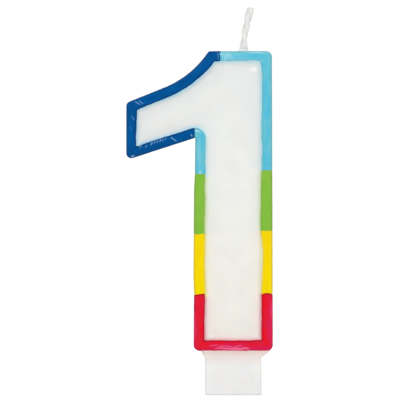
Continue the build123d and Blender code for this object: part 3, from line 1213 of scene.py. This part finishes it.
class Nodes:
    """Adds nodes to a tree. An input is another node's output, a colour or a constant."""

    def __init__(self, tree):
        self.tree = tree

    def feed(self, socket, value):
        if isinstance(value, bpy.types.NodeSocket):
            self.tree.links.new(value, socket)
        elif isinstance(value, np.ndarray):
            socket.default_value = (*value, 1.0)
        elif value is not None:
            socket.default_value = value

    def node(self, kind, inputs=None, **settings):
        node = self.tree.nodes.new("ShaderNode" + kind)
        for key, value in settings.items():
            setattr(node, key, value)
        for key, value in (inputs or {}).items():
            self.feed(node.inputs[key], value)
        return node

    def spread(self, value, low, high, to_low=0.0, to_high=1.0):
        """A value's range from low to high stretched over another range, and held at its ends."""
        ends = {"From Min": low, "From Max": high, "To Min": to_low, "To Max": to_high}
        return self.node("MapRange", {"Value": value, **ends}).outputs["Result"]


class Shader(Nodes):
    """A node material with one Principled shader straight on its output."""

    def __init__(self, name, **sockets):
        self.material = bpy.data.materials.new(name)
        self.material.use_nodes = True
        super().__init__(self.material.node_tree)
        self.surface = self.tree.nodes["Principled BSDF"]
        for socket, value in sockets.items():
            self.surface.inputs[socket.replace("_", " ")].default_value = value

    def attribute(self, name, output="Fac"):
        return self.node("Attribute", attribute_name=name).outputs[output]

    def place(self):
        """The object's own coordinates, in millimetres."""
        metres = self.node("TexCoord").outputs["Object"]
        return self.node("VectorMath", {0: metres, 1: (1 / MM,) * 3}, operation="MULTIPLY").outputs[0]

    def noise(self, vector, size, detail=2.0, stretch=(1.0, 1.0, 1.0)):
        """Noise with features this many millimetres wide, from 0 to 1."""
        scale = tuple(1.0 / (size * factor) for factor in stretch)
        mapped = self.node("Mapping", {"Vector": vector, "Scale": scale}).outputs[0]
        inputs = {"Vector": mapped, "Scale": 1.0, "Detail": detail, "Roughness": 0.55}
        return self.node("TexNoise", inputs).outputs["Fac"]

    def product(self, first, second):
        return self.node("Math", {0: first, 1: second}, operation="MULTIPLY").outputs[0]

    def mix(self, share, first, second):
        """One colour where share is 0 and the other where it is 1."""
        inputs = {"Factor": share, "A": first, "B": second}
        return self.node("Mix", inputs, data_type="RGBA").outputs["Result"]

    def bump(self, height, distance, strength, before=None):
        inputs = {"Strength": strength, "Distance": distance * MM, "Height": height, "Normal": before}
        return self.node("Bump", inputs).outputs["Normal"]

    def finish(self, colour, roughness, normal):
        for socket, value in (("Base Color", colour), ("Roughness", roughness), ("Normal", normal)):
            self.feed(self.surface.inputs[socket], value)
        return self.material


def white_wax():
    """Cast white wax: slightly see-through, satin, with faint clouds, specks and a fine grain."""
    shader = Shader(
        "white_wax", Subsurface_Weight=0.35, Subsurface_Radius=(1.0, 0.88, 0.78), Subsurface_Scale=0.0014,
        Specular_IOR_Level=0.35, IOR=1.44,
    )
    place = shader.place()
    clouds = shader.noise(place, 4.5, 3.0)
    grain = shader.noise(place, 0.35, 3.0)
    specks = shader.noise(place, 0.42, 1.0)
    tint = shader.attribute("tint", "Color")
    colour = shader.mix(shader.spread(clouds, 0.35, 0.68, 0.0, 0.30), tint, srgb(229, 229, 228))
    colour = shader.mix(shader.spread(specks, 0.72, 0.78, 0.0, 0.30), colour, srgb(222, 221, 226))
    roughness = shader.spread(clouds, 0.3, 0.7, 0.34, 0.46)
    normal = shader.bump(grain, 0.05, 0.12, shader.bump(clouds, 0.3, 0.10))
    return shader.finish(colour, roughness, normal)


# For each colour of wax: its middle, streaks and the painted shade at its edges, then the painted sheen and
# shade on its sides, its ends and the painted highlights on its brush ridges.
WAX_COLOURS = {
    "dark_blue": [
        (0, 90, 160), (2, 74, 135), (0, 58, 112), (2, 76, 136), (0, 52, 106), (140, 190, 232),
    ],
    "light_blue": [
        (80, 191, 224), (112, 201, 214), (112, 190, 204), (118, 194, 204), (98, 188, 192), (206, 240, 250),
    ],
    "green": [
        (127, 194, 56), (146, 193, 78), (146, 182, 84), (142, 184, 78), (138, 182, 80), (190, 225, 130),
    ],
    "yellow": [
        (255, 226, 0), (250, 215, 6), (244, 214, 50), (242, 214, 46), (250, 208, 40), (255, 240, 150),
    ],
    "red": [
        (241, 18, 36), (224, 36, 66), (158, 20, 44), (226, 34, 92), (158, 20, 4), (254, 124, 172),
    ],
}


def coloured_wax(name, colours):
    """Pigmented wax: full colour in the middle, streaked by the brush, with painted shade at its edges,
    painted sheen and shade on its sides and painted highlights on its brush ridges.
    """
    core, streak, rim, side, end, mark = (srgb(*colour) for colour in colours)
    shader = Shader(name, Specular_IOR_Level=0.05, IOR=1.45)
    flow = shader.attribute("flow", "Vector")
    strokes = shader.noise(flow, 0.30, 3.0, (14.0, 1.0, 1.0))
    clouds = shader.noise(flow, 1.1, 3.0, (3.5, 1.0, 1.0))
    colour = shader.mix(shader.spread(clouds, 0.38, 0.70), core, streak)
    colour = shader.mix(shader.spread(strokes, 0.50, 0.70, 0.0, 0.5), colour, streak)
    colour = shader.mix(shader.attribute("side"), colour, side)
    colour = shader.mix(shader.product(shader.attribute("edge"), 0.85), colour, rim)
    colour = shader.mix(shader.product(shader.attribute("end"), 0.85), colour, end)
    colour = shader.mix(shader.attribute("mark"), colour, mark)
    roughness = shader.spread(strokes, 0.3, 0.7, 0.28, 0.42)
    fine = shader.noise(shader.place(), 0.22, 2.0)
    normal = shader.bump(strokes, 0.06, 0.25, shader.bump(fine, 0.04, 0.15))
    return shader.finish(colour, roughness, normal)


def waxed_cotton():
    """Twisted cotton soaked in wax: off-white, with painted shade that makes it greyer in the grooves between
    its strands.
    """
    shader = Shader(
        "waxed_cotton", Subsurface_Weight=0.5, Subsurface_Radius=(1.0, 0.9, 0.85), Subsurface_Scale=0.0011,
        Specular_IOR_Level=0.15, IOR=1.45,
    )
    fibres = shader.noise(shader.place(), 0.16, 3.0, (1.0, 1.0, 6.0))
    colour = shader.mix(shader.spread(fibres, 0.35, 0.7, 0.0, 0.5), srgb(236, 236, 234), srgb(228, 228, 226))
    colour = shader.mix(shader.product(shader.attribute("groove"), 0.35), colour, srgb(214, 214, 210))
    return shader.finish(colour, shader.spread(fibres, 0.3, 0.7, 0.42, 0.6), shader.bump(fibres, 0.05, 0.25))


# ---- stage, light and camera

VIEW_WIDTH = 84.78
VIEW_CENTRE_X = -7.06
VIEW_CENTRE_Z = 41.42
CAMERA_DISTANCE = 1500.0
SENSOR = 36.0
FLOOR_HALF = 6000.0
FLOOR_LINES = 24
FLOOR_Z = -0.02
WHITE = (1.0, 1.0, 1.0, 1.0)
# Each light's place and the size of its square in millimetres, and its power in watts.
LIT_MIDDLE = (-4.0, 0.0, 40.0)
LIGHTS = (
    ("key_left", (-360.0, -430.0, 300.0), 300.0, 1.60),
    ("fill_right", (390.0, -400.0, 170.0), 320.0, 1.30),
    ("overhead", (30.0, 60.0, 560.0), 420.0, 0.90),
    ("back", (-200.0, 420.0, 260.0), 320.0, 1.2),
)


def stage_floor():
    """A plain pale sheet under the candle. It glows, less close to the candle and less as a light."""
    line = np.linspace(-FLOOR_HALF, FLOOR_HALF, FLOOR_LINES)
    vertices = [(x, y, FLOOR_Z) for y in line for x in line]
    floor = new_mesh("floor", vertices, grid_faces(FLOOR_LINES, FLOOR_LINES))
    shader = Shader("floor_paper", Specular_IOR_Level=0.1, Emission_Color=WHITE)
    grain = shader.noise(shader.place(), 6.0, 2.0)
    colour = shader.mix(shader.spread(grain, 0.3, 0.7), srgb(160, 160, 160), srgb(163, 163, 163))
    place = shader.node("TexCoord").outputs["Object"]
    distance = shader.node("VectorMath", {0: place}, operation="LENGTH").outputs["Value"]
    seen = shader.spread(shader.node("LightPath").outputs["Is Camera Ray"], 0.0, 1.0, 0.5, 1.0)
    glow = shader.product(shader.spread(distance, 0.1, 0.5, 0.74, 1.0), seen)
    shader.feed(shader.surface.inputs["Emission Strength"], glow)
    roughness = shader.spread(grain, 0.3, 0.7, 0.8, 0.9)
    floor.data.materials.append(shader.finish(colour, roughness, shader.bump(grain, 0.02, 0.1)))


def world_light():
    """White seen straight on, and as light on the candle a softer white, softest from the front."""
    world = bpy.data.worlds.new("studio")
    bpy.context.scene.world = world
    world.use_nodes = True
    world.node_tree.nodes.clear()
    nodes = Nodes(world.node_tree)
    parts = nodes.node("SeparateXYZ", {0: nodes.node("TexCoord").outputs["Generated"]})
    strength = nodes.spread(parts.outputs["Y"], -0.85, -0.35, 0.06, 0.24)
    light = nodes.node("Background", {"Color": WHITE, "Strength": strength}).outputs[0]
    seen = nodes.node("Background", {"Color": WHITE, "Strength": 1.05}).outputs[0]
    camera_ray = nodes.node("LightPath").outputs["Is Camera Ray"]
    mix = nodes.node("MixShader", {0: camera_ray, 1: light, 2: seen}).outputs[0]
    nodes.node("OutputWorld", {"Surface": mix})


def soft_light(name, place, target, size, power):
    """A square studio light, in millimetres, aimed at a target."""
    data = bpy.data.lights.new(name, "AREA")
    data.shape = "SQUARE"
    data.size = size * MM
    data.energy = power
    obj = bpy.data.objects.new(name, data)
    obj.location = Vector(place) * MM
    obj.rotation_euler = (Vector(target) - Vector(place)).to_track_quat("-Z", "Y").to_euler()
    bpy.context.scene.collection.objects.link(obj)


def studio():
    world_light()
    for name, place, size, power in LIGHTS:
        soft_light(name, place, LIT_MIDDLE, size, power)
    bpy.context.scene.view_settings.view_transform = "Standard"


def camera():
    data = bpy.data.cameras.new("camera")
    data.sensor_width = SENSOR
    data.lens = SENSOR * CAMERA_DISTANCE / VIEW_WIDTH
    data.clip_start = 0.01
    data.clip_end = 20.0
    obj = bpy.data.objects.new("camera", data)
    obj.location = Vector((VIEW_CENTRE_X, FRONT_Y - CAMERA_DISTANCE, VIEW_CENTRE_Z)) * MM
    obj.rotation_euler = (math.pi / 2, 0.0, 0.0)
    bpy.context.scene.collection.objects.link(obj)
    bpy.context.scene.camera = obj


# ---- the candle

def place_piece(obj, node, material):
    obj.data.materials.clear()
    obj.data.materials.append(material)
    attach(obj, BODY)
    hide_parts(node)


def casting():
    obj = numeral_shell()
    apply_boolean(obj, peg_and_shoulder(), "UNION")
    apply_boolean(obj, wick_bore(), "DIFFERENCE")
    settle_casting(obj)
    set_tint(obj, casting_tint(read_vertices(obj, "co") / MM))
    obj.data.shade_smooth()
    obj.data.set_sharp_from_angle(angle=math.radians(50.0))
    return obj


camera()
studio()
stage_floor()
wax = white_wax()
place_piece(casting(), "numeral_body", wax)
place_piece(wick(), "wick", waxed_cotton())
place_piece(wick_seal(), "wick_seal", wax)
materials = {name: coloured_wax(name + "_wax", colours) for name, colours in WAX_COLOURS.items()}
for node, spec in BANDS.items():
    colour = colour_of(node)
    place_piece(build_band(node, spec), node, materials[colour])
